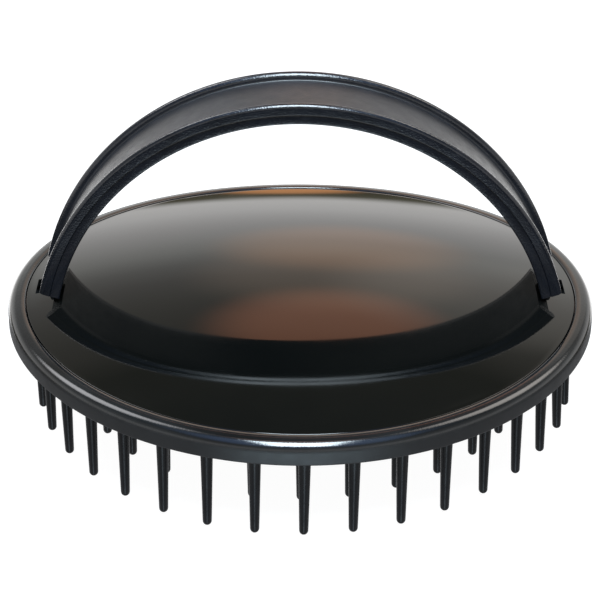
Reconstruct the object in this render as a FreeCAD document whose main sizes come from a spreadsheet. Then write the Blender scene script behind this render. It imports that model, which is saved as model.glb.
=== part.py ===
import FreeCAD, Part

import math
import os

# Palm-held curry comb: a round base that bows down a little to the front and back, a domed
# back cover set inside its bead, an arched handle hooked into the cover, and seven sets of
# tapered pins. Millimetres, +Z up. X runs from foot to foot of the handle. The origin is
# under the centre, on the surface that the lowest pin tips touch.

DIMENSIONS = [
    # alias, millimetres unless the alias says otherwise
    ("base_radius", 50.0),
    ("bow", 2.0),                  # drop of the base's front and back edges below its sides
    ("skirt_depth", 3.4),
    ("skirt_wall", 3.05),
    ("skirt_corner", 0.3),
    ("bead_height", 0.35),         # above the top of the skirt
    ("bead_inner_radius", 47.25),
    ("bead_round", 0.35),
    ("bead_inner_round", 0.45),
    ("groove_depth", 0.75),        # below the top of the skirt
    ("cover_radius", 46.6),
    ("cover_flange_radius", 46.85),
    ("flange_gap", 0.05),          # between the flange and the groove's floor
    ("cover_edge_height", 0.15),   # above the top of the skirt
    ("cover_rise", 4.45),          # from the edge to the middle, along X
    ("cover_thickness", 1.3),
    ("cover_edge_round", 0.35),
    ("plate_drop", 3.0),           # underside of the plate at the outer pins, below the skirt's top
    ("plate_rise", 3.67),          # from the outer pins to the middle
    ("plate_thickness", 1.1),
    ("plate_overlap", 0.15),       # how far the plate runs into the skirt
    ("ring_pitch", 7.58),
    ("ring_count", 6.0),
    ("pins_per_step", 6.0),        # each ring holds this many pins more than the ring inside it
    ("pin_length", 15.6),
    ("pin_root_radius", 1.12),
    ("pin_neck_radius", 1.02),
    ("pin_neck_length", 1.0),
    ("pin_tip_radius", 0.73),
    ("pin_head_radius", 1.3),
    ("pin_head_lift", 0.32),       # above the plate, which slopes under the head
    ("pin_head_height", 0.25),
    ("pin_hole_clearance", 0.04),
    ("handle_half_span", 45.1),
    ("handle_apex", 37.05),        # above the top of the skirt
    ("handle_centre_drop", 6.6),   # centre of its ellipse, below the top of the skirt
    ("handle_width", 16.0),
    ("handle_leg_thickness", 3.5),
    ("handle_apex_thickness", 3.5),
    ("handle_upper_share", 0.52),  # upper band's share of the thickness
    ("handle_side_step", 0.2),
    ("handle_rail_width", 1.15),
    ("handle_recess_share", 0.37),  # recess's share of the thickness
    ("handle_band_overlap", 0.01),  # share of the thickness that the two bands have in common
    ("handle_edge_round", 0.5),
    ("foot_height", 1.9),          # inner corner of the foot, above the top of the skirt
    ("foot_slope_degrees", 19.0),
    ("tab_inner", 41.6),
    ("tab_outer", 43.3),
    ("tab_width", 5.0),
    ("tab_root", 1.5),             # how far the tab runs up inside the leg
    ("hook_reach", 1.0),
    ("hook_height", 0.9),
    ("hook_gap", 0.12),            # between the hook and the cover it holds
    ("slot_outer", 45.3),
    ("slot_clearance", 0.25),
    ("pocket_clearance", 0.3),
    ("overrun", 1.5),              # how far a cutting tool runs past what it cuts
]

TALL = 60.0                        # more than the radius and the height of the whole part
SAME_PLACE = 0.01                  # points nearer than this lie on the same surface
SAME_LEVEL = 0.02
SAME_ELLIPSE = 0.0005              # as a share of the ellipse's size
ALONG_EDGE = (0.1, 0.5, 0.9)       # where an edge is looked at, as shares of its length

doc = FreeCAD.newDocument("curry_comb")
sheet = doc.addObject("Spreadsheet::Sheet", "sizes")
for row, (alias, value) in enumerate(DIMENSIONS, start=1):
    sheet.set("A%d" % row, alias)
    sheet.set("B%d" % row, str(value))
    sheet.setAlias("B%d" % row, alias)
doc.recompute()


def size(alias):
    """A driving dimension, as a plain number."""
    return float(sheet.get(alias))


# ---------------------------------------------------------------- levels

OUTER_RING = size("ring_pitch") * size("ring_count")
BOW_RATE = size("bow") / size("base_radius") ** 2
BOW_RADIUS = 1.0 / (2.0 * BOW_RATE)
SKIRT_TOP = size("pin_length") + size("plate_drop") + BOW_RATE * OUTER_RING ** 2
PLATE_RATE = size("plate_rise") / OUTER_RING ** 2


def bowed(y):
    """How far the base has dropped at this distance in front of or behind the middle."""
    return BOW_RATE * y * y


def plate_underside(x, y):
    rise = PLATE_RATE * (OUTER_RING ** 2 - x * x - y * y)
    return SKIRT_TOP - size("plate_drop") + rise - bowed(y)


# ---------------------------------------------------------------- small helpers

def place(obj, base, axis=(0, 0, 1), angle=0.0):
    rotation = FreeCAD.Rotation(FreeCAD.Vector(*axis), angle)
    obj.Placement = FreeCAD.Placement(FreeCAD.Vector(*base), rotation)
    return obj


def disc(name, radius_expression):
    """Upright cylinder, taller than the base, about the Z axis."""
    obj = doc.addObject("Part::Cylinder", name)
    obj.setExpression("Radius", radius_expression)
    obj.Height = TALL
    return place(obj, (0, 0, SKIRT_TOP - TALL / 2))


def bow_block(name, level):
    """Everything below a surface that bows down to the front and back from this level."""
    obj = doc.addObject("Part::Cylinder", name)
    obj.setExpression("Radius", "sizes.base_radius ^ 2 / (2 * sizes.bow)")
    obj.Height = 2 * TALL
    return place(obj, (-TALL, 0, level - BOW_RADIUS), (0, 1, 0), 90)


def dome_block(name, apex, rise, radius):
    """Everything below a dome that drops by rise along X, and by rise plus the bow along Y.

    Its top is an arc in the YZ plane, swung a little way about an axis parallel to Y.
    """
    def arc_radius(drop):
        return (radius ** 2 + drop ** 2) / (2.0 * drop)

    swing_radius = arc_radius(rise)
    cross_radius = arc_radius(rise + bowed(radius))
    centre = apex - cross_radius
    edge_level = centre + math.sqrt(cross_radius ** 2 - TALL ** 2)
    start = FreeCAD.Vector(0, -TALL, edge_level)
    end = FreeCAD.Vector(0, TALL, edge_level)
    low_end = FreeCAD.Vector(0, TALL, apex - TALL)
    low_start = FreeCAD.Vector(0, -TALL, apex - TALL)
    arc = Part.Arc(start, FreeCAD.Vector(0, 0, apex), end).toShape()
    lines = [Part.makeLine(end, low_end), Part.makeLine(low_end, low_start),
             Part.makeLine(low_start, start)]
    profile = doc.addObject("Part::Feature", name + "_profile")
    profile.Shape = Part.Face(Part.Wire([arc] + lines))
    obj = doc.addObject("Part::Revolution", name)
    obj.Source = profile
    obj.Base = FreeCAD.Vector(0, 0, apex - swing_radius)
    obj.Axis = FreeCAD.Vector(0, 1, 0)
    obj.Angle = 2.0 * math.degrees(math.asin(TALL / swing_radius))
    obj.Symmetric = True
    obj.Solid = True
    return obj


def block(name, low, high):
    obj = doc.addObject("Part::Box", name)
    obj.Length = high[0] - low[0]
    obj.Width = high[1] - low[1]
    obj.Height = high[2] - low[2]
    return place(obj, low)


def cut(name, base, tool):
    obj = doc.addObject("Part::Cut", name)
    obj.Base = base
    obj.Tool = tool
    return obj


def common(name, *shapes):
    obj = doc.addObject("Part::MultiCommon", name)
    obj.Shapes = list(shapes)
    return obj


def fuse(name, *shapes):
    obj = doc.addObject("Part::MultiFuse", name)
    obj.Shapes = list(shapes)
    obj.Refine = True
    return obj


def fillet(name, base, radius, wanted):
    """Round the edges of base for which wanted(edge) is true."""
    doc.recompute()
    numbers = [n for n, edge in enumerate(base.Shape.Edges, start=1) if wanted(edge)]
    if not numbers:
        raise RuntimeError(name + ": no edge to round")
    obj = doc.addObject("Part::Fillet", name)
    obj.Base = base
    obj.Edges = [(n, radius, radius) for n in numbers]
    doc.recompute()
    return obj


def edge_points(edge):
    start, end = edge.FirstParameter, edge.LastParameter
    return [edge.valueAt(start + share * (end - start)) for share in ALONG_EDGE]


def on_circle(radius, level):
    """Test for an edge that runs round the base at this radius, bowing from this level."""
    def test(edge):
        return all(abs(math.hypot(p.x, p.y) - radius) < SAME_PLACE
                   and abs(p.z + bowed(p.y) - level) < SAME_LEVEL for p in edge_points(edge))
    return test


# ---------------------------------------------------------------- pins

def ring_places(ring):
    """Where the pins of one ring stand, as x and y. Ring 0 is the pin in the middle."""
    count = max(1, round(ring * size("pins_per_step")))
    radius = ring * size("ring_pitch")
    turns = [2.0 * math.pi * n / count for n in range(count)]
    return [(radius * math.sin(turn), -radius * math.cos(turn)) for turn in turns]


def pin_shape():
    """One pin about the Z axis, with the plate's underside at zero and its tip below."""
    root = size("pin_root_radius")
    neck = size("pin_neck_radius")
    tip = size("pin_tip_radius")
    head = size("pin_head_radius")
    length = size("pin_length")
    seat = size("plate_thickness") + size("pin_head_lift")
    head_top = seat + size("pin_head_height")

    def point(radius, height):
        return FreeCAD.Vector(radius, 0, height)

    round_start = point(tip, tip - length)
    round_middle = point(tip * math.sin(math.pi / 4), tip - length - tip * math.sin(math.pi / 4))
    round_end = point(0, -length)
    corners = [round_end, point(0, head_top), point(head, head_top), point(head, seat),
               point(root, seat), point(root, 0), point(neck, -size("pin_neck_length")),
               round_start]
    edges = [Part.makeLine(a, b) for a, b in zip(corners, corners[1:])]
    edges.append(Part.Arc(round_start, round_middle, round_end).toShape())
    profile = Part.Face(Part.Wire(edges))
    return profile.revolve(FreeCAD.Vector(0, 0, 0), FreeCAD.Vector(0, 0, 1), 360)


def pin_group(name, ring):
    """All the pins of one ring. Each is a solid of its own, at the height of the bowed plate."""
    pin = pin_shape()
    pins = []
    for x, y in ring_places(ring):
        one = pin.copy()
        one.translate(FreeCAD.Vector(x, y, plate_underside(x, y)))
        pins.append(one)
    obj = doc.addObject("Part::Feature", name)
    obj.Label = name
    obj.Shape = Part.makeCompound(pins) if len(pins) > 1 else pins[0]
    return obj


def pin_holes():
    """Drills for all the pin holes in the plate."""
    radius = size("pin_root_radius") + size("pin_hole_clearance")
    length = size("plate_thickness") + 2 * size("overrun")
    drills = []
    for ring in range(int(size("ring_count")) + 1):
        for x, y in ring_places(ring):
            foot = FreeCAD.Vector(x, y, plate_underside(x, y) - size("overrun"))
            drills.append(Part.makeCylinder(radius, length, foot))
    obj = doc.addObject("Part::Feature", "pin_hole_drills")
    obj.Shape = Part.makeCompound(drills)
    return obj


# ---------------------------------------------------------------- base

def plate_dome(name, lift):
    apex = SKIRT_TOP - size("plate_drop") + size("plate_rise") + lift
    return dome_block(name, apex, size("plate_rise"), OUTER_RING)


def hook_pocket(side):
    """Room in the plate for the hook on one foot of the handle."""
    gap = size("pocket_clearance")
    near = size("tab_inner") - size("hook_reach") - gap
    far = size("tab_outer") + gap
    half = size("tab_width") / 2 + gap
    low_x, high_x = sorted((side * near, side * far))
    floor = hook_bottom() - gap
    return block("hook_pocket_%d" % side, (low_x, -half, floor), (high_x, half, TALL))


def make_rim_ring():
    """Skirt with the rolled bead along its top and a step inside that leaves a groove."""
    bore = disc("skirt_bore", "sizes.base_radius - sizes.skirt_wall")
    tube = cut("skirt_tube", disc("skirt_outside", "sizes.base_radius"), bore)
    bead_top = SKIRT_TOP + size("bead_height")
    skirt_bottom = SKIRT_TOP - size("skirt_depth")
    slab = cut("skirt_slab", bow_block("bead_top_level", bead_top),
               bow_block("skirt_bottom_level", skirt_bottom))
    step_tube = cut("step_tube", disc("step_outside", "sizes.bead_inner_radius"),
                    disc("step_inside", "sizes.base_radius - 2 * sizes.skirt_wall"))
    step = cut("step_cutter", step_tube,
               bow_block("groove_floor", SKIRT_TOP - size("groove_depth")))
    ring = cut("rim_ring_sharp", common("rim_ring_blank", tube, slab), step)
    lower = fillet("rim_ring_lower", ring, size("skirt_corner"),
                   on_circle(size("base_radius"), skirt_bottom))
    outer = fillet("rim_ring_outer", lower, size("bead_round"),
                   on_circle(size("base_radius"), bead_top))
    return fillet("rim_ring", outer, size("bead_inner_round"),
                  on_circle(size("bead_inner_radius"), bead_top))


def make_rim_base():
    """Skirt, bead and the domed plate that carries the pins, in one moulding."""
    shell = cut("plate_shell", plate_dome("plate_top", size("plate_thickness")),
                plate_dome("plate_underside", 0.0))
    outline = disc("plate_outline", "sizes.base_radius - sizes.skirt_wall + sizes.plate_overlap")
    whole = fuse("base_whole", make_rim_ring(), common("plate", shell, outline))
    pockets = fuse("hook_pockets", hook_pocket(-1), hook_pocket(1))
    base = cut("rim_base", cut("base_pocketed", whole, pockets), pin_holes())
    base.Label = "rim_base"
    return base


# ---------------------------------------------------------------- cover

def cover_underside(x):
    """Height of the cover's underside on the X axis."""
    rate = size("cover_rise") / size("cover_radius") ** 2
    edge = SKIRT_TOP + size("cover_edge_height") - size("cover_thickness")
    return edge + size("cover_rise") - rate * x * x


def hook_top():
    return cover_underside(size("tab_inner")) - size("hook_gap")


def hook_bottom():
    return hook_top() - size("hook_height")


def cover_dome(name, lift):
    apex = SKIRT_TOP + size("cover_edge_height") + size("cover_rise") + lift
    return dome_block(name, apex, size("cover_rise"), size("cover_radius"))


def handle_slot(side):
    """Slot through the cover, longer outwards so that the foot can be sprung in."""
    gap = size("slot_clearance")
    half = size("tab_width") / 2 + gap
    low_x, high_x = sorted((side * (size("tab_inner") - gap / 2), side * size("slot_outer")))
    return block("handle_slot_%d" % side, (low_x, -half, 0.0), (high_x, half, TALL))


def make_back_cover():
    """Domed cover with a flange that fits inside the skirt below the groove."""
    shell = cut("cover_shell", cover_dome("cover_top", 0.0),
                cover_dome("cover_underside", -size("cover_thickness")))
    cap = common("cover_cap", shell, disc("cover_outline", "sizes.cover_radius"))
    rounded = fillet("cover_rounded", cap, size("cover_edge_round"),
                     on_circle(size("cover_radius"), SKIRT_TOP + size("cover_edge_height")))
    flange_top = SKIRT_TOP - size("groove_depth") - size("flange_gap")
    flange_slab = common("flange_slab", bow_block("flange_top_level", flange_top), shell)
    flange = common("cover_flange", flange_slab, disc("flange_outline", "sizes.cover_flange_radius"))
    whole = fuse("cover_whole", rounded, flange)
    cover = cut("back_cover", whole, fuse("handle_slots", handle_slot(-1), handle_slot(1)))
    cover.Label = "back_cover"
    return cover


# ---------------------------------------------------------------- handle

def ellipse_plate(name, share, width_expression):
    """Elliptical disc in the XZ plane, smaller than the handle's outside all round by this
    share of the handle's thickness."""
    ring = doc.addObject("Part::Ellipse", name + "_outline")
    ring.setExpression("MajorRadius",
                       "sizes.handle_half_span - (%s) * sizes.handle_leg_thickness" % share)
    ring.setExpression("MinorRadius", "sizes.handle_apex + sizes.handle_centre_drop"
                       " - (%s) * sizes.handle_apex_thickness" % share)
    obj = doc.addObject("Part::Extrusion", name)
    obj.Base = ring
    obj.Dir = FreeCAD.Vector(0, 0, 1)
    obj.setExpression("LengthFwd", width_expression)
    obj.Symmetric = True
    obj.Solid = True
    centre = SKIRT_TOP - size("handle_centre_drop")
    return place(obj, (0, 0, centre), (1, 0, 0), 90)


def inside_of_leg(height):
    """X of the inside of the handle at this height above the top of the skirt."""
    half_span = size("handle_half_span") - size("handle_leg_thickness")
    rise = size("handle_apex") + size("handle_centre_drop") - size("handle_apex_thickness")
    level = (height + size("handle_centre_drop")) / rise
    return half_span * math.sqrt(1.0 - level ** 2)


def foot_cutter(side):
    """Block below one foot, its top face square to the leg."""
    obj = block("foot_cutter_%d" % side, (0, 0, 0), (2 * TALL, 2 * TALL, TALL))
    inner_corner = side * inside_of_leg(size("foot_height"))
    angle = -side * size("foot_slope_degrees")
    rotation = FreeCAD.Rotation(FreeCAD.Vector(0, 1, 0), angle)
    shift = rotation.multVec(FreeCAD.Vector(-TALL, -TALL, -TALL))
    corner = FreeCAD.Vector(inner_corner, 0, SKIRT_TOP + size("foot_height"))
    obj.Placement = FreeCAD.Placement(corner + shift, rotation)
    return obj


def tab(side):
    """Tongue below one foot, with a hook that reaches inwards under the cover."""
    half = size("tab_width") / 2
    low_x, high_x = sorted((side * size("tab_inner"), side * size("tab_outer")))
    tongue = block("tongue_%d" % side, (low_x, -half, hook_bottom()),
                   (high_x, half, SKIRT_TOP + size("foot_height") + size("tab_root")))
    reach_x = side * (size("tab_inner") - size("hook_reach"))
    low_x, high_x = sorted((reach_x, side * size("tab_outer")))
    hook = block("hook_%d" % side, (low_x, -half, hook_bottom()), (high_x, half, hook_top()))
    return [tongue, hook]


def make_handle():
    """Arched strap: a channel with two raised rails above, and a step along both sides."""
    full = "sizes.handle_width"
    wide = "sizes.handle_width + 2 * sizes.overrun"
    upper_band = cut("upper_band", ellipse_plate("upper_outside", "0", full),
                     ellipse_plate("upper_inside", "sizes.handle_upper_share", wide))
    lower_width = "sizes.handle_width - 2 * sizes.handle_side_step"
    lower_outside = "sizes.handle_upper_share - sizes.handle_band_overlap"
    lower_band = cut("lower_band", ellipse_plate("lower_outside", lower_outside, lower_width),
                     ellipse_plate("lower_inside", "1", wide))
    band = fuse("band", upper_band, lower_band)
    recess_width = "sizes.handle_width - 2 * sizes.handle_rail_width"
    well_outside = "-1"
    recess = cut("recess", ellipse_plate("recess_outside", well_outside, recess_width),
                 ellipse_plate("recess_floor", "sizes.handle_recess_share", wide))
    channel = cut("channel", band, recess)
    feet = fuse("feet_cutter", foot_cutter(-1), foot_cutter(1))
    arch = cut("arch", channel, feet)

    def rail_edge(edge):
        points = edge_points(edge)
        half = size("handle_width") / 2
        rail = half - size("handle_rail_width")
        a = size("handle_half_span")
        b = size("handle_apex") + size("handle_centre_drop")
        centre = SKIRT_TOP - size("handle_centre_drop")
        on_outside = all(abs(math.hypot(p.x / a, (p.z - centre) / b) - 1.0) < SAME_ELLIPSE
                         for p in points)
        on_rail = all(min(abs(abs(p.y) - half), abs(abs(p.y) - rail)) < SAME_PLACE for p in points)
        return on_outside and on_rail and edge.Length > size("handle_width")

    rounded = fillet("arch_rounded", arch, size("handle_edge_round"), rail_edge)
    handle = fuse("handle", rounded, *(tab(-1) + tab(1)))
    handle.Label = "handle"
    return handle


# ---------------------------------------------------------------- build and write

parts = [make_rim_base(), make_back_cover(), make_handle()]
parts.append(pin_group("centre_pin", 0))
for ring_number in range(1, int(size("ring_count")) + 1):
    parts.append(pin_group("pins_ring_%d" % ring_number, ring_number))
doc.recompute()

for obj in doc.Objects:
    if "Invalid" in obj.State or "Error" in obj.State:
        raise RuntimeError("%s failed: %s" % (obj.Name, obj.State))
for obj in parts:
    if obj.Shape.isNull() or not obj.Shape.isValid():
        raise RuntimeError(obj.Label + " has no valid shape")

os.makedirs("parts", exist_ok=True)
for obj in parts:
    obj.Shape.exportStep("parts/%s.step" % obj.Label)
    box = obj.Shape.optimalBoundingBox()
    print("%-14s solids %3d  volume %8.1f  z %6.2f to %6.2f  x %6.2f to %6.2f" % (
        obj.Label, len(obj.Shape.Solids), obj.Shape.Volume, box.ZMin, box.ZMax,
        box.XMin, box.XMax))
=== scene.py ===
import bmesh
import bpy
import math
import random

from mathutils import Matrix, Vector


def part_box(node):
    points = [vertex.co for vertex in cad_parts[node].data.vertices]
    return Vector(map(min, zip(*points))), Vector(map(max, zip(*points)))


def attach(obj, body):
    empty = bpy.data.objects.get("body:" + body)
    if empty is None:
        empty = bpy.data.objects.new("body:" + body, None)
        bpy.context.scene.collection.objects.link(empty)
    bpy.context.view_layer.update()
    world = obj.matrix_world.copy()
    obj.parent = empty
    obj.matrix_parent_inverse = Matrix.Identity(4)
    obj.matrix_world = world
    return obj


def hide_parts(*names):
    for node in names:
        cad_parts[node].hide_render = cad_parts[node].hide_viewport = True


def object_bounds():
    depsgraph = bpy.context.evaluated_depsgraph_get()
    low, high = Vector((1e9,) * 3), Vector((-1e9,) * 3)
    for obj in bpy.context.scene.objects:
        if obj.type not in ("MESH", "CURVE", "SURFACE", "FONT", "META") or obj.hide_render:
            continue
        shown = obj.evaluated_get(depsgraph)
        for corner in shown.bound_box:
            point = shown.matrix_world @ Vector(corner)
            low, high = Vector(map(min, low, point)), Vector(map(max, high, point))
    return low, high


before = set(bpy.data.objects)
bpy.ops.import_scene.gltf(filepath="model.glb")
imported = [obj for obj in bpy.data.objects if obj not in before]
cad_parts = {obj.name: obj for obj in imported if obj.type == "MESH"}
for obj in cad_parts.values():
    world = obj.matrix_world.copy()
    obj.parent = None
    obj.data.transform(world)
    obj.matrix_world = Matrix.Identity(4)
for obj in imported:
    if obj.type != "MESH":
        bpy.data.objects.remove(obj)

# The looks of a palm-held curry comb, built round its CAD frame. Metres, +Z up, X from foot to
# foot of the handle, camera in front along -Y.

MM = 0.001
cad_low, cad_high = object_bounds()

# ---------------------------------------------------------------- sizes taken from the frame

base_low, base_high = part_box("rim_base")
cover_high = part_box("back_cover")[1]
handle_low, handle_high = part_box("handle")
outer_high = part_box("pins_ring_6")[1]
centre_low, centre_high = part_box("centre_pin")

BASE_RADIUS = (base_high.x - base_low.x) / 2
PIN_HEAD_RADIUS = (centre_high.x - centre_low.x) / 2
OUTER_RING = outer_high.x - PIN_HEAD_RADIUS
RING_COUNT = 6
RING_PITCH = OUTER_RING / RING_COUNT
COVER_APEX = cover_high.z
HANDLE_TOP = handle_high.z
HANDLE_WIDTH = handle_high.y - handle_low.y

# ---------------------------------------------------------------- sizes of the base and cover

BOW = 2.0 * MM                   # drop of the base's front and back edges below its sides
COVER_RISE = 4.45 * MM
COVER_EDGE_HEIGHT = 0.15 * MM    # edge of the cover, above the top of the skirt
SKIRT_TOP = COVER_APEX - COVER_RISE - COVER_EDGE_HEIGHT
SKIRT_DEPTH = 3.4 * MM
SKIRT_WALL = 3.05 * MM
SKIRT_CORNER = 0.3 * MM
BORE_CORNER = 0.2 * MM
SHOULDER_ROUND = 1.6 * MM        # from the skirt's wall over to the bead's crown
BEAD_HEIGHT = 0.35 * MM          # above the top of the skirt
BEAD_CROWN = 0.05 * MM
BEAD_INNER_RADIUS = 47.0 * MM
BEAD_INNER_ROUND = 0.34 * MM
COVER_RADIUS = 46.85 * MM
COVER_THICKNESS = 1.3 * MM
COVER_EDGE_ROUND = 0.1 * MM
GROOVE_DEPTH = 0.75 * MM
PLATE_DROP = 3.0 * MM            # underside of the plate at the outer pins, below the skirt's top
PLATE_RISE = 3.67 * MM           # from the outer pins to the middle
PLATE_THICKNESS = 1.1 * MM
SLOT_INNER = 41.475 * MM
SLOT_OUTER = 45.3 * MM
SLOT_WIDTH = 5.5 * MM

BOW_RATE = BOW / BASE_RADIUS ** 2
PLATE_RATE = PLATE_RISE / OUTER_RING ** 2

# ---------------------------------------------------------------- sizes of the handle

HANDLE_HALF_SPAN = 45.1 * MM
HANDLE_CENTRE = SKIRT_TOP - 6.6 * MM    # centre of its ellipse
HANDLE_HEIGHT = HANDLE_TOP - HANDLE_CENTRE
HANDLE_LEAN = 0.45 * MM          # how far the top of the arch has set to the left
THICKNESS = 3.5 * MM
UPPER_SHARE = 0.52               # upper band's share of the thickness
RECESS_SHARE = 0.37              # recess's share of the thickness
SIDE_STEP = 0.2 * MM             # from the upper band in to the lower one
RAIL_WIDTH = 1.55 * MM
RAIL_INNER_ROUND = 0.83 * MM
RAIL_OUTER_ROUND = 0.7 * MM
RECESS_FILLET = 0.25 * MM
LOWER_EDGE_ROUND = 0.2 * MM
FOOT_HEIGHT = 1.9 * MM           # inner corner of the foot, above the top of the skirt
FOOT_SLOPE = math.radians(19.0)
STEEPEST_FOOT = math.radians(40.0)      # the feet's cuts meet the arch below this angle
TAB_INNER = 41.6 * MM
TAB_OUTER = 43.3 * MM
TAB_WIDTH = 5.0 * MM
TAB_ROOT = 1.0 * MM              # top of the tab, above the foot's inner corner
TAB_CORNER = 0.15 * MM
HOOK_REACH = 1.0 * MM
HOOK_HEIGHT = 0.9 * MM
HOOK_GAP = 0.12 * MM             # between the hook and the cover it holds

# ---------------------------------------------------------------- sizes of the pins

PIN_LENGTH = 15.6 * MM
PIN_ROOT_RADIUS = 1.12 * MM
PIN_NECK_RADIUS = 1.02 * MM
PIN_NECK_LENGTH = 1.0 * MM
PIN_TIP_RADIUS = 0.73 * MM
PIN_SUNK = 0.6 * MM              # how far the root runs up into the plate
PIN_FLARE = 0.35 * MM            # width and height of the flare at the root
FLARE_HOLLOW = 0.12 * MM
PIN_BEND = 1.5                   # power of the height that a pin's lean follows
SIDE_SHORTENING = 0.028          # share of the length that the pins at the two sides lack
OUTER_TURN = math.radians(0.6)   # outer pins' turn in front; none at the right, double at the left
PIN_SPLAY = 0.4 * MM             # how far the tips of the outer ring stand out past their roots
PIN_LOOSENESS = 0.1 * MM         # most that a tip stands out of line, any way

# Drift of the outer tips along X from their even places, as on a used comb.
DRIFT_AT_SIDES = 0.85 * MM       # to the right, most at the two sides
DRIFT_INWARDS = 0.47 * MM        # inwards in the front half, outwards in the back half
DRIFT_OF_ALL = -0.17 * MM        # to the left


def bowed(y):
    """How far the base has dropped at this distance in front of or behind the middle."""
    return BOW_RATE * y * y


def plate_level(r):
    """Underside of the pin plate at this radius, before the bow."""
    return SKIRT_TOP - PLATE_DROP + PLATE_RATE * (OUTER_RING ** 2 - r * r)


def cover_level(r):
    """Top of the cover at this radius, before the bow."""
    return COVER_APEX - COVER_RISE * (r / COVER_RADIUS) ** 2


# ---------------------------------------------------------------- mesh helpers

def new_object(name, data):
    """An object of this data, put in the scene."""
    obj = bpy.data.objects.new(name, data)
    bpy.context.scene.collection.objects.link(obj)
    return obj


def solid_object(name, verts, faces):
    """A new mesh object from points and faces, its normals turned outwards."""
    mesh = bpy.data.meshes.new(name)
    mesh.from_pydata(verts, [], faces)
    bm = bmesh.new()
    bm.from_mesh(mesh)
    bmesh.ops.recalc_face_normals(bm, faces=bm.faces)
    bm.to_mesh(mesh)
    bm.free()
    return new_object(name, mesh)


def arc(centre, radius, start, end, steps):
    """Points of a circular arc in a plane; angles in degrees from the plane's first axis."""
    points = []
    for n in range(steps + 1):
        a = math.radians(start + (end - start) * n / steps)
        points.append((centre[0] + radius * math.cos(a), centre[1] + radius * math.sin(a)))
    return points


def bowed_lathe(name, profile, segments=360):
    """Turn a closed (r, z) profile about Z, then lower each point by the bow at its y."""
    on_axis = 1e-9
    verts, faces, rows = [], [], []
    for r, z in profile:
        if r < on_axis:
            rows.append([len(verts)])
            verts.append((0.0, 0.0, z))
            continue
        row = []
        for s in range(segments):
            a = 2 * math.pi * s / segments
            x, y = r * math.sin(a), -r * math.cos(a)
            row.append(len(verts))
            verts.append((x, y, z - bowed(y)))
        rows.append(row)
    for low, high in zip(rows, rows[1:] + rows[:1]):
        for s in range(segments):
            t = (s + 1) % segments
            if len(low) == 1 and len(high) == 1:
                break
            if len(low) == 1:
                faces.append((low[0], high[t], high[s]))
            elif len(high) == 1:
                faces.append((low[s], low[t], high[0]))
            else:
                faces.append((low[s], low[t], high[t], high[s]))
    return solid_object(name, verts, faces)


def box_mesh(low, high, corner=0.0):
    """A box from corner to corner, its edges rounded if corner is not zero."""
    bm = bmesh.new()
    centre = (Vector(low) + Vector(high)) / 2
    sides = Vector(high) - Vector(low)
    matrix = Matrix.Translation(centre) @ Matrix.Diagonal((*sides, 1.0))
    bmesh.ops.create_cube(bm, size=1.0, matrix=matrix)
    if corner:
        bmesh.ops.bevel(bm, geom=list(bm.edges), offset=corner, segments=3, affect="EDGES")
    mesh = bpy.data.meshes.new("box")
    bm.to_mesh(mesh)
    bm.free()
    return mesh


def cut_box(obj, low, high):
    """Cut a box-shaped opening through an object's mesh."""
    tool = new_object("cutter", box_mesh(low, high))
    cut = obj.modifiers.new("cut", "BOOLEAN")
    cut.operation = "DIFFERENCE"
    cut.solver = "EXACT"
    cut.object = tool
    bpy.context.view_layer.update()
    graph = bpy.context.evaluated_depsgraph_get()
    result = bpy.data.meshes.new_from_object(obj.evaluated_get(graph))
    obj.modifiers.clear()
    obj.data = result
    bpy.data.objects.remove(tool)


def join_mesh(obj, mesh):
    """Add another mesh's shells to an object."""
    bm = bmesh.new()
    bm.from_mesh(obj.data)
    bm.from_mesh(mesh)
    bm.to_mesh(obj.data)
    bm.free()


def smooth_by_angle(obj, degrees):
    """Shade smooth, but for the edges that turn by more than this angle."""
    obj.data.shade_smooth()
    bm = bmesh.new()
    bm.from_mesh(obj.data)
    limit = math.radians(degrees)
    for edge in bm.edges:
        if len(edge.link_faces) == 2 and edge.calc_face_angle(0.0) > limit:
            edge.smooth = False
    bm.to_mesh(obj.data)
    bm.free()


def finish_piece(obj, node, material):
    """Hang a piece on the frame in place of its CAD node."""
    obj.data.materials.clear()
    obj.data.materials.append(material)
    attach(obj, "root")
    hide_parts(node)


# ---------------------------------------------------------------- materials

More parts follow.
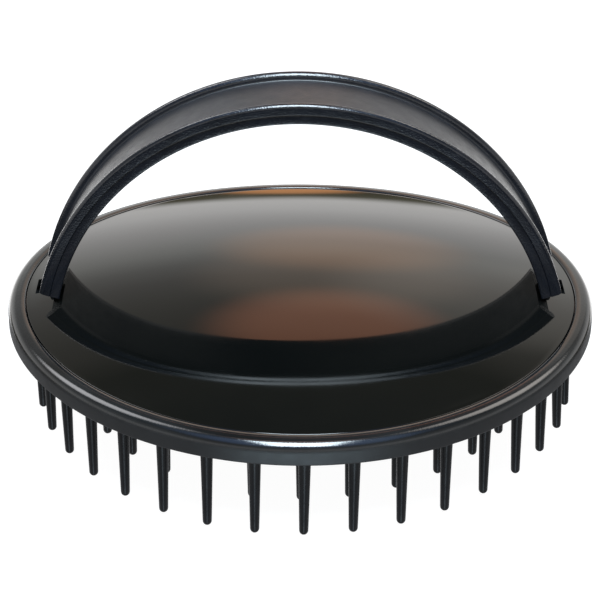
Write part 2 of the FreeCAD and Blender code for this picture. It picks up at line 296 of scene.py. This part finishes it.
class NodeMaterial:
    """A node material with a Principled shader, and short ways to add nodes to it. Noise scales
    are in cycles per metre of the object's own space."""

    def __init__(self, name):
        self.material = bpy.data.materials.new(name)
        self.material.use_nodes = True
        self.nodes = self.material.node_tree.nodes
        self.links = self.material.node_tree.links
        self.shader = self.nodes["Principled BSDF"]
        self.coords = self.nodes.new("ShaderNodeTexCoord")

    def set(self, socket, value):
        """Give one of the shader's inputs the same value all over."""
        self.shader.inputs[socket].default_value = value

    def drive(self, socket, source):
        """Feed one of the shader's inputs from a node."""
        self.links.new(source, self.shader.inputs[socket])

    def noise(self, scale, detail=3.0, stretch=(1.0, 1.0, 1.0)):
        mapping = self.nodes.new("ShaderNodeMapping")
        mapping.inputs["Scale"].default_value = stretch
        self.links.new(self.coords.outputs["Object"], mapping.inputs["Vector"])
        node = self.nodes.new("ShaderNodeTexNoise")
        node.inputs["Scale"].default_value = scale
        node.inputs["Detail"].default_value = detail
        node.inputs["Roughness"].default_value = 0.5
        self.links.new(mapping.outputs["Vector"], node.inputs["Vector"])
        return node.outputs["Fac"]

    def remap(self, value, low, high, from_low=0.3, from_high=0.7):
        """Stretch a value's range; a noise keeps to 0.3 to 0.7 nearly everywhere."""
        node = self.nodes.new("ShaderNodeMapRange")
        node.inputs["From Min"].default_value = from_low
        node.inputs["From Max"].default_value = from_high
        node.inputs["To Min"].default_value = low
        node.inputs["To Max"].default_value = high
        self.links.new(value, node.inputs["Value"])
        return node.outputs["Result"]

    def tint(self, scale, dark, light):
        """Colour that wanders between two colours."""
        node = self.nodes.new("ShaderNodeMix")
        node.data_type = "RGBA"
        node.inputs["A"].default_value = (*dark, 1.0)
        node.inputs["B"].default_value = (*light, 1.0)
        self.links.new(self.remap(self.noise(scale), 0.0, 1.0), node.inputs["Factor"])
        return node.outputs["Result"]

    def blend(self, factor, first, second):
        node = self.nodes.new("ShaderNodeMix")
        for socket, source in (("Factor", factor), ("A", first), ("B", second)):
            self.links.new(source, node.inputs[socket])
        return node.outputs["Result"]

    def bump(self, height, strength, distance, previous=None):
        node = self.nodes.new("ShaderNodeBump")
        node.inputs["Strength"].default_value = strength
        node.inputs["Distance"].default_value = distance
        self.links.new(height, node.inputs["Height"])
        if previous is not None:
            self.links.new(previous, node.inputs["Normal"])
        return node.outputs["Normal"]

    def maths(self, operation, *values):
        node = self.nodes.new("ShaderNodeMath")
        node.operation = operation
        for socket, value in zip(node.inputs, values):
            if isinstance(value, float):
                socket.default_value = value
            else:
                self.links.new(value, socket)
        return node.outputs["Value"]

    def position(self):
        """Sockets X, Y and Z of the place on the object."""
        split = self.nodes.new("ShaderNodeSeparateXYZ")
        self.links.new(self.coords.outputs["Object"], split.inputs["Vector"])
        return split.outputs


def cover_material():
    """Mirror-gloss black plastic, with faint haze and very fine waviness."""
    mat = NodeMaterial("gloss_black_cover")
    mat.set("IOR", 1.52)
    mat.drive("Base Color", mat.tint(40.0, (0.0010, 0.0014, 0.0015), (0.0020, 0.0023, 0.0022)))
    mat.drive("Roughness", mat.remap(mat.noise(90.0, 5.0), 0.03, 0.075))
    mat.drive("Normal", mat.bump(mat.noise(60.0, 1.0), 0.02, 0.4 * MM))
    return mat.material


def rim_material():
    """Satin black skirt; the rolled bead along its top is polished."""
    mat = NodeMaterial("satin_black_rim")
    mat.set("IOR", 1.5)
    mat.drive("Base Color", mat.tint(120.0, (0.003, 0.0035, 0.0042), (0.0065, 0.0075, 0.0085)))
    place = mat.position()
    drop = mat.maths("MULTIPLY", mat.maths("MULTIPLY", place["Y"], place["Y"]), BOW_RATE)
    level = mat.maths("ADD", place["Z"], drop)
    satin_top = SKIRT_TOP - 0.95 * MM
    polished_bottom = SKIRT_TOP - 0.45 * MM
    bead = mat.remap(level, 0.0, 1.0, satin_top, polished_bottom)
    satin = mat.remap(mat.noise(400.0, 4.0), 0.40, 0.50)
    polished = mat.remap(mat.noise(150.0), 0.09, 0.13)
    mat.drive("Roughness", mat.blend(bead, satin, polished))
    mat.drive("Normal", mat.bump(mat.noise(2600.0), 0.12, 0.08 * MM))
    return mat.material


def handle_material():
    """Black plastic: glossy rails and sides with a sparkling grain, satin between the rails."""
    mat = NodeMaterial("semi_gloss_black_handle")
    mat.set("IOR", 1.5)
    mat.drive("Base Color", mat.tint(200.0, (0.0018, 0.0028, 0.005), (0.004, 0.0055, 0.009)))
    across = mat.maths("ABSOLUTE", mat.position()["Y"])
    rail = HANDLE_WIDTH / 2 - RAIL_WIDTH
    fade = 0.1 * MM
    side = mat.remap(across, 0.0, 1.0, rail - fade, rail + fade)
    satin = mat.remap(mat.noise(500.0, 5.0), 0.36, 0.46)
    gloss = mat.remap(mat.noise(900.0, 5.0), 0.12, 0.22)
    mat.drive("Roughness", mat.blend(side, satin, gloss))
    ripple = mat.bump(mat.noise(300.0, 2.0), 0.035, 0.08 * MM)
    mat.drive("Normal", mat.bump(mat.noise(3400.0, 2.0), 0.55, 0.06 * MM, ripple))
    return mat.material


def pin_material():
    """Satin blue-black pins, with a grain that runs along them."""
    mat = NodeMaterial("satin_black_pins")
    mat.set("IOR", 1.5)
    mat.set("Specular IOR Level", 0.32)
    mat.drive("Base Color", mat.tint(160.0, (0.0015, 0.0021, 0.0032), (0.0035, 0.0045, 0.0064)))
    mat.drive("Roughness", mat.remap(mat.noise(900.0, 4.0), 0.20, 0.30))
    grain = mat.noise(2800.0, 2.0, stretch=(1.0, 1.0, 0.25))
    mat.drive("Normal", mat.bump(grain, 0.15, 0.06 * MM))
    return mat.material


# ---------------------------------------------------------------- rim and cover

def make_rim():
    """Skirt, rolled bead, groove and the domed plate, as one closed skin."""
    bore = BASE_RADIUS - SKIRT_WALL
    bottom = SKIRT_TOP - SKIRT_DEPTH
    groove_floor = SKIRT_TOP - GROOVE_DEPTH
    edge_top = SKIRT_TOP + BEAD_HEIGHT - BEAD_CROWN
    shoulder = BASE_RADIUS - SHOULDER_ROUND
    lip = BEAD_INNER_RADIUS + BEAD_INNER_ROUND
    steps = 24
    crown_steps = 8
    under = [(bore * n / steps, plate_level(bore * n / steps)) for n in range(steps + 1)]
    profile = list(under)
    profile += arc((bore + BORE_CORNER, bottom + BORE_CORNER), BORE_CORNER, 180, 270, 4)
    profile += arc((BASE_RADIUS - SKIRT_CORNER, bottom + SKIRT_CORNER), SKIRT_CORNER, 270, 360, 6)
    profile += arc((shoulder, edge_top - SHOULDER_ROUND), SHOULDER_ROUND, 0, 84, 20)
    for n in range(1, crown_steps):
        f = n / crown_steps
        profile.append((shoulder + (lip - shoulder) * f, edge_top + 4 * BEAD_CROWN * f * (1 - f)))
    profile += arc((lip, edge_top - BEAD_INNER_ROUND), BEAD_INNER_ROUND, 98, 180, 9)
    profile += [(BEAD_INNER_RADIUS, groove_floor), (bore, groove_floor)]
    profile += [(r, z + PLATE_THICKNESS) for r, z in reversed(under)]
    rim = bowed_lathe("base_with_rolled_bead", profile)
    smooth_by_angle(rim, 40.0)
    finish_piece(rim, "rim_base", rim_material())


def make_cover():
    """Domed cover with a rounded edge, and a slot for each foot of the handle."""
    steps = 64
    flat = COVER_RADIUS - COVER_EDGE_ROUND
    top = [(flat * n / steps, cover_level(flat * n / steps)) for n in range(steps + 1)]
    profile = [(r, z - COVER_THICKNESS) for r, z in top]
    profile += [(COVER_RADIUS, cover_level(COVER_RADIUS) - COVER_THICKNESS)]
    profile += arc((flat, cover_level(flat) - COVER_EDGE_ROUND), COVER_EDGE_ROUND, 0, 80, 8)
    profile += reversed(top)
    cover = bowed_lathe("glossy_back_cover", profile)
    for hand in (-1, 1):
        low_x, high_x = sorted((hand * SLOT_INNER, hand * SLOT_OUTER))
        cut_box(cover, (low_x, -SLOT_WIDTH / 2, 0.0), (high_x, SLOT_WIDTH / 2, HANDLE_TOP))
    smooth_by_angle(cover, 30.0)
    finish_piece(cover, "back_cover", cover_material())


# ---------------------------------------------------------------- handle

def handle_axes(depth):
    """Half axes of the arch's ellipse at this depth in from the outside."""
    return HANDLE_HALF_SPAN - depth, HANDLE_HEIGHT - depth


def handle_section():
    """Half outline of the strap's section as (y, depth), from the middle of the recess's floor
    over the rail and down the side to the middle of the inside."""
    half = HANDLE_WIDTH / 2
    rail = half - RAIL_WIDTH
    lower = half - SIDE_STEP
    recess = RECESS_SHARE * THICKNESS
    step = UPPER_SHARE * THICKNESS
    # The extra points on the recess's floor and on the inside keep their shading flat.
    points = [(0.0, recess), (rail * 0.35, recess), (rail * 0.7, recess)]
    points += arc((rail - RECESS_FILLET, recess - RECESS_FILLET), RECESS_FILLET, 90, 15, 3)
    points += arc((rail + RAIL_INNER_ROUND, RAIL_INNER_ROUND), RAIL_INNER_ROUND, 180, 270, 7)
    points += arc((half - RAIL_OUTER_ROUND, RAIL_OUTER_ROUND), RAIL_OUTER_ROUND, 270, 360, 9)
    # The step in the side: a soft edge, then a shallow crease under it.
    points += [(half, step - 0.1 * MM), (half - 0.05 * MM, step - 0.02 * MM),
               (lower + 0.02 * MM, step), (lower - 0.03 * MM, step + 0.06 * MM),
               (lower, step + 0.16 * MM)]
    drafted = lower - 0.02 * MM
    points += [(drafted, THICKNESS - 0.3 * MM)]
    points += arc((drafted - LOWER_EDGE_ROUND, THICKNESS - LOWER_EDGE_ROUND), LOWER_EDGE_ROUND,
                  0, 90, 4)
    points += [(lower * 0.5, THICKNESS), (0.0, THICKNESS)]
    return points


def foot_angle(depth):
    """Angle round the arch at which its skin at this depth meets the foot's cut."""
    foot_z = SKIRT_TOP + FOOT_HEIGHT
    inner_a, inner_b = handle_axes(THICKNESS)
    inner_x = inner_a * math.sqrt(1.0 - ((foot_z - HANDLE_CENTRE) / inner_b) ** 2)
    a, b = handle_axes(depth)
    low, high = 0.0, STEEPEST_FOOT
    for _ in range(40):
        t = (low + high) / 2
        cut_z = foot_z + (a * math.cos(t) - inner_x) * math.tan(FOOT_SLOPE)
        if HANDLE_CENTRE + b * math.sin(t) < cut_z:
            low = t
        else:
            high = t
    return (low + high) / 2


def make_handle():
    """Arched strap swept along its ellipse, its feet cut square to the legs, with a hooked tab
    under each foot."""
    half = handle_section()
    ring = half + [(-y, depth) for y, depth in half[-2:0:-1]]
    starts = [foot_angle(depth) for _, depth in ring]
    stations = 241
    count = len(ring)
    verts, faces = [], []
    for n in range(stations):
        f = n / (stations - 1)
        for (y, depth), start in zip(ring, starts):
            t = start + f * (math.pi - 2 * start)
            a, b = handle_axes(depth)
            lean = HANDLE_LEAN * math.sin(t) ** 2
            verts.append((a * math.cos(t) - lean, y, HANDLE_CENTRE + b * math.sin(t)))
    for n in range(stations - 1):
        for k in range(count):
            j = (k + 1) % count
            faces.append((n * count + k, n * count + j, (n + 1) * count + j, (n + 1) * count + k))
    faces.append(tuple(range(count)))
    faces.append(tuple((stations - 1) * count + k for k in reversed(range(count))))
    handle = solid_object("arched_strap_handle", verts, faces)
    hook_top = cover_level(TAB_INNER) - COVER_THICKNESS - HOOK_GAP
    hook_bottom = hook_top - HOOK_HEIGHT
    tab_top = SKIRT_TOP + FOOT_HEIGHT + TAB_ROOT
    for hand in (-1, 1):
        for inner, top in ((TAB_INNER, tab_top), (TAB_INNER - HOOK_REACH, hook_top)):
            low_x, high_x = sorted((hand * inner, hand * TAB_OUTER))
            join_mesh(handle, box_mesh((low_x, -TAB_WIDTH / 2, hook_bottom),
                                       (high_x, TAB_WIDTH / 2, top), TAB_CORNER))
    smooth_by_angle(handle, 32.0)
    finish_piece(handle, "handle", handle_material())


# ---------------------------------------------------------------- pins

def pin_profile():
    """(radius, height) down a pin, from its flared root on the plate to its rounded tip."""
    tip = PIN_TIP_RADIUS
    points = [(PIN_ROOT_RADIUS + PIN_FLARE, 0.0), (PIN_ROOT_RADIUS + FLARE_HOLLOW, -FLARE_HOLLOW),
              (PIN_ROOT_RADIUS, -PIN_FLARE), (PIN_NECK_RADIUS, -PIN_NECK_LENGTH)]
    taper_end = PIN_LENGTH - tip
    taper_steps = 8
    for n in range(1, taper_steps + 1):
        f = n / taper_steps
        points.append((PIN_NECK_RADIUS + (tip - PIN_NECK_RADIUS) * f,
                       -PIN_NECK_LENGTH - (taper_end - PIN_NECK_LENGTH) * f))
    points += arc((0.0, -taper_end), tip, -18, -72, 3)
    return points


def add_pin(verts, faces, x, y, lean, reach):
    """One pin of this share of the full length, leaning by (dx, dy) at its tip, its root sunk a
    little way into the plate."""
    sides = 24
    flared_rows = 4              # these follow the slope of the plate
    top = plate_level(math.hypot(x, y)) - bowed(y)
    slope_x = -2 * PLATE_RATE * x
    slope_y = -2 * (PLATE_RATE + BOW_RATE) * y
    profile = [(radius, height * reach) for radius, height in pin_profile()]
    rows = [(profile[0][0], PIN_SUNK)] + profile
    start = len(verts)
    for row, (radius, height) in enumerate(rows):
        f = max(0.0, -height / PIN_LENGTH) ** PIN_BEND
        for s in range(sides):
            a = 2 * math.pi * s / sides
            dx, dy = radius * math.cos(a), radius * math.sin(a)
            tilt = (slope_x * dx + slope_y * dy) if row < flared_rows else 0.0
            verts.append((x + dx + lean[0] * f, y + dy + lean[1] * f, top + height + tilt))
    bottom = len(verts)
    verts.append((x + lean[0], y + lean[1], top - PIN_LENGTH * reach))
    for row in range(len(rows) - 1):
        for s in range(sides):
            t = (s + 1) % sides
            a, b = start + row * sides, start + (row + 1) * sides
            faces.append((a + s, a + t, b + t, b + s))
    last = start + (len(rows) - 1) * sides
    for s in range(sides):
        faces.append((last + s, last + (s + 1) % sides, bottom))
    faces.append(tuple(start + s for s in reversed(range(sides))))


def ring_places(ring):
    """Angle from the front and (x, y) of each pin of a ring. The outer ring's pins are a little
    round from their even places."""
    count = max(1, 6 * ring)
    radius = RING_PITCH * ring
    places = []
    for n in range(count):
        turn = 2 * math.pi * n / count
        if ring == RING_COUNT:
            turn += OUTER_TURN * (1 - math.sin(turn))
        places.append((turn, radius * math.sin(turn), -radius * math.cos(turn)))
    return places


def pin_drift(turn):
    """How far along X the tip of an outer pin at this angle has ended up from its even place."""
    return DRIFT_AT_SIDES * math.sin(turn) ** 2 - DRIFT_INWARDS * math.sin(2 * turn) + DRIFT_OF_ALL


def make_pins(ring, material, draw):
    """All the pins of one ring. Half of a pin's drift is in its root, the rest in its lean."""
    node = "centre_pin" if ring == 0 else "pins_ring_%d" % ring
    share = ring / RING_COUNT
    splay = PIN_SPLAY * share
    verts, faces = [], []
    for turn, x, y in ring_places(ring):
        angle = draw.uniform(0.0, 2 * math.pi)
        amount = draw.uniform(0.0, PIN_LOOSENESS)
        drift = share * pin_drift(turn)
        lean = (splay * math.sin(turn) + drift / 2 + amount * math.cos(angle),
                -splay * math.cos(turn) + amount * math.sin(angle))
        reach = 1.0 - SIDE_SHORTENING * share * math.sin(turn) ** 2
        add_pin(verts, faces, x + drift / 2, y, lean, reach)
    pins = solid_object("tapered_" + node, verts, faces)
    smooth_by_angle(pins, 50.0)
    finish_piece(pins, node, material)


# ---------------------------------------------------------------- floor and lights

FLOOR_REACH = 1.2
FLOOR_GLOW = 0.96
FLOOR_GAP = 0.05 * MM            # below the tips of the pins


def make_floor():
    """White, self-lit floor with hardly a shadow, which lights nothing and shows in nothing."""
    level = cad_low.z - FLOOR_GAP
    corners = [(x * FLOOR_REACH, y * FLOOR_REACH, level)
               for x, y in ((-1, -1), (1, -1), (1, 1), (-1, 1))]
    mesh = bpy.data.meshes.new("floor")
    mesh.from_pydata(corners, [], [(0, 1, 2, 3)])
    floor = new_object("floor", mesh)
    mat = NodeMaterial("pale_floor")
    mat.set("Base Color", (0.15, 0.15, 0.15, 1.0))
    mat.set("Roughness", 0.9)
    mat.set("Specular IOR Level", 0.0)
    mat.set("Emission Color", (1.0, 1.0, 1.0, 1.0))
    mat.set("Emission Strength", FLOOR_GLOW)
    floor.data.materials.append(mat.material)
    floor.visible_diffuse = False
    floor.visible_glossy = False


def area_light(name, location, target, size, energy, colour):
    """A rectangular lamp at a place, turned to its target and not seen itself."""
    data = bpy.data.lights.new(name, "AREA")
    data.shape = "RECTANGLE"
    data.size, data.size_y = size
    data.energy = energy
    data.color = colour
    light = new_object(name, data)
    light.location = location
    light.rotation_mode = "QUATERNION"
    light.rotation_quaternion = (Vector(target) - Vector(location)).to_track_quat("-Z", "Y")
    light.visible_camera = False


def make_lights():
    """A soft lamp above the front of the comb, and a pale card on the table before the rim."""
    area_light("key", location=(0.0, -0.17, 0.42), target=(0.0, -0.03, 0.02),
               size=(0.14, 0.30), energy=4.2, colour=(0.80, 0.93, 1.0))
    area_light("card", location=(0.0, -0.084, 0.001), target=(0.0, -0.084, 0.1),
               size=(0.048, 0.03), energy=0.012, colour=(0.66, 0.88, 1.0))


# The studio round the comb: elevation in degrees, and the colour of the surroundings there.
SURROUNDINGS = [
    (-90, (0.45, 0.46, 0.48)),             # table
    (-34, (0.55, 0.56, 0.58)),
    (-26, (0.42, 0.43, 0.44)),
    (-18, (0.1, 0.1, 0.11)),
    (-4, (0.1, 0.09, 0.06)),
    (-1, (0.16, 0.15, 0.1)),
    (1.5, (1.3, 1.28, 1.25)),              # backdrop, brightest near its foot
    (6, (1.37, 1.35, 1.33)),
    (12, (1.18, 1.16, 1.14)),
    (16, (1.08, 1.07, 1.04)),
    (20, (0.9, 0.9, 0.86)),
    (24, (0.6, 0.59, 0.56)),
    (28, (0.44, 0.42, 0.39)),
    (33, (0.36, 0.34, 0.3)),
    (41, (0.26, 0.24, 0.2)),
    (46, (0.12, 0.11, 0.08)),              # ceiling
    (90, (0.1, 0.1, 0.09)),
]

# Soft patches added to it: azimuth from the back (right is positive), elevation and angular
# radius in degrees, and the colour added.
GLOWS = [
    (3, 40.5, 10.5, (1.15, 0.44, 0.23)),   # warm lamp and its glow on the backdrop
    (3, 20, 9, (0.45, 0.18, 0.04)),
    (3, 28, 11, (0.34, 0.24, 0.17)),
    (15, 29, 13, (0.36, 0.34, 0.31)),
    (-26, -11, 17, (2.6, 2.6, 2.6)),       # bright table top on both sides, behind
    (26, -11, 17, (2.6, 2.6, 2.6)),
    (0, -5, 3.8, (0.9, 0.38, 0.14)),       # orange edge of the table
    (180, -38, 14, (1.9, 2.3, 2.6)),       # table in front
    (0, 78, 11, (2.2, 1.5, 1.3)),          # warm spill on the ceiling
    (180, 68, 38, (0.5, 0.8, 1.5)),        # bluish spill round the key light
    (-54, 53, 22, (6.5, 6.5, 6.7)),        # soft lamps high on both sides
    (54, 53, 22, (5.2, 4.9, 4.6)),
]

PEAK = 1.5                       # strength of the background


def as_shares(colour):
    """A colour of the surroundings as shares of the background's strength, with alpha."""
    return (*[c / PEAK for c in colour], 1.0)


def make_world():
    """The surroundings as a ramp over the elevation, with the patches added on top."""
    world = bpy.data.worlds.new("studio")
    bpy.context.scene.world = world
    world.use_nodes = True
    nodes, links = world.node_tree.nodes, world.node_tree.links
    background = nodes["Background"]
    coords = nodes.new("ShaderNodeTexCoord")
    split = nodes.new("ShaderNodeSeparateXYZ")
    links.new(coords.outputs["Generated"], split.inputs["Vector"])
    ramp = nodes.new("ShaderNodeValToRGB")
    elements = ramp.color_ramp.elements
    for index, (degrees, colour) in enumerate(SURROUNDINGS):
        position = 0.5 + 0.5 * math.sin(math.radians(degrees))
        element = elements[index] if index < 2 else elements.new(position)
        element.position = position
        element.color = as_shares(colour)
    scale = nodes.new("ShaderNodeMapRange")
    scale.inputs["From Min"].default_value = -1.0
    links.new(split.outputs["Z"], scale.inputs["Value"])
    links.new(scale.outputs["Result"], ramp.inputs["Fac"])
    colour = ramp.outputs["Color"]
    for glow in GLOWS:
        colour = add_glow(nodes, links, coords, colour, *glow)
    links.new(colour, background.inputs["Color"])
    background.inputs["Strength"].default_value = PEAK


def add_glow(nodes, links, coords, colour, azimuth, elevation, reach, glow):
    """Add a soft round patch of colour, of this angular radius, in this direction."""
    a, e = math.radians(azimuth), math.radians(elevation)
    along = nodes.new("ShaderNodeVectorMath")
    along.operation = "DOT_PRODUCT"
    links.new(coords.outputs["Generated"], along.inputs[0])
    along.inputs[1].default_value = (math.sin(a) * math.cos(e), math.cos(a) * math.cos(e), math.sin(e))
    fall = nodes.new("ShaderNodeMapRange")
    fall.interpolation_type = "SMOOTHERSTEP"
    fall.inputs["From Min"].default_value = math.cos(math.radians(reach))
    fall.inputs["From Max"].default_value = 1.0
    links.new(along.outputs["Value"], fall.inputs["Value"])
    add = nodes.new("ShaderNodeMix")
    add.data_type = "RGBA"
    add.blend_type = "ADD"
    add.clamp_result = False
    add.inputs["B"].default_value = as_shares(glow)
    links.new(fall.outputs["Result"], add.inputs["Factor"])
    links.new(colour, add.inputs["A"])
    return add.outputs["Result"]


# ---------------------------------------------------------------- camera

CAMERA_ELEVATION = math.radians(26.39)
CAMERA_AZIMUTH = math.radians(-0.49)
CAMERA_ROLL = math.radians(0.26)
CAMERA_DISTANCE = 364.3 * MM     # from the middle of the base, at the top of its skirt
SENSOR_WIDTH = 36.0              # millimetres, as the lens
LENS = 126.9
SHIFT = (-0.0007, -0.0185)       # of the picture, in widths of it


def make_camera():
    data = bpy.data.cameras.new("camera")
    data.sensor_width = SENSOR_WIDTH
    data.lens = LENS
    data.shift_x, data.shift_y = SHIFT
    data.clip_start = 0.01
    camera = new_object("camera", data)
    back = Vector((math.sin(CAMERA_AZIMUTH) * math.cos(CAMERA_ELEVATION),
                   -math.cos(CAMERA_AZIMUTH) * math.cos(CAMERA_ELEVATION),
                   math.sin(CAMERA_ELEVATION)))
    camera.location = Vector((0, 0, SKIRT_TOP)) + back * CAMERA_DISTANCE
    look = (-back).to_track_quat("-Z", "Y")
    roll = Matrix.Rotation(CAMERA_ROLL, 3, "Z").to_quaternion()
    camera.rotation_mode = "QUATERNION"
    camera.rotation_quaternion = look @ roll
    bpy.context.scene.camera = camera


# ---------------------------------------------------------------- build

make_rim()
make_cover()
make_handle()
pin_plastic = pin_material()
draw = random.Random(7)
for ring_number in range(RING_COUNT + 1):
    make_pins(ring_number, pin_plastic, draw)
make_floor()
make_world()
make_lights()
make_camera()
bpy.context.scene.view_settings.view_transform = "Standard"
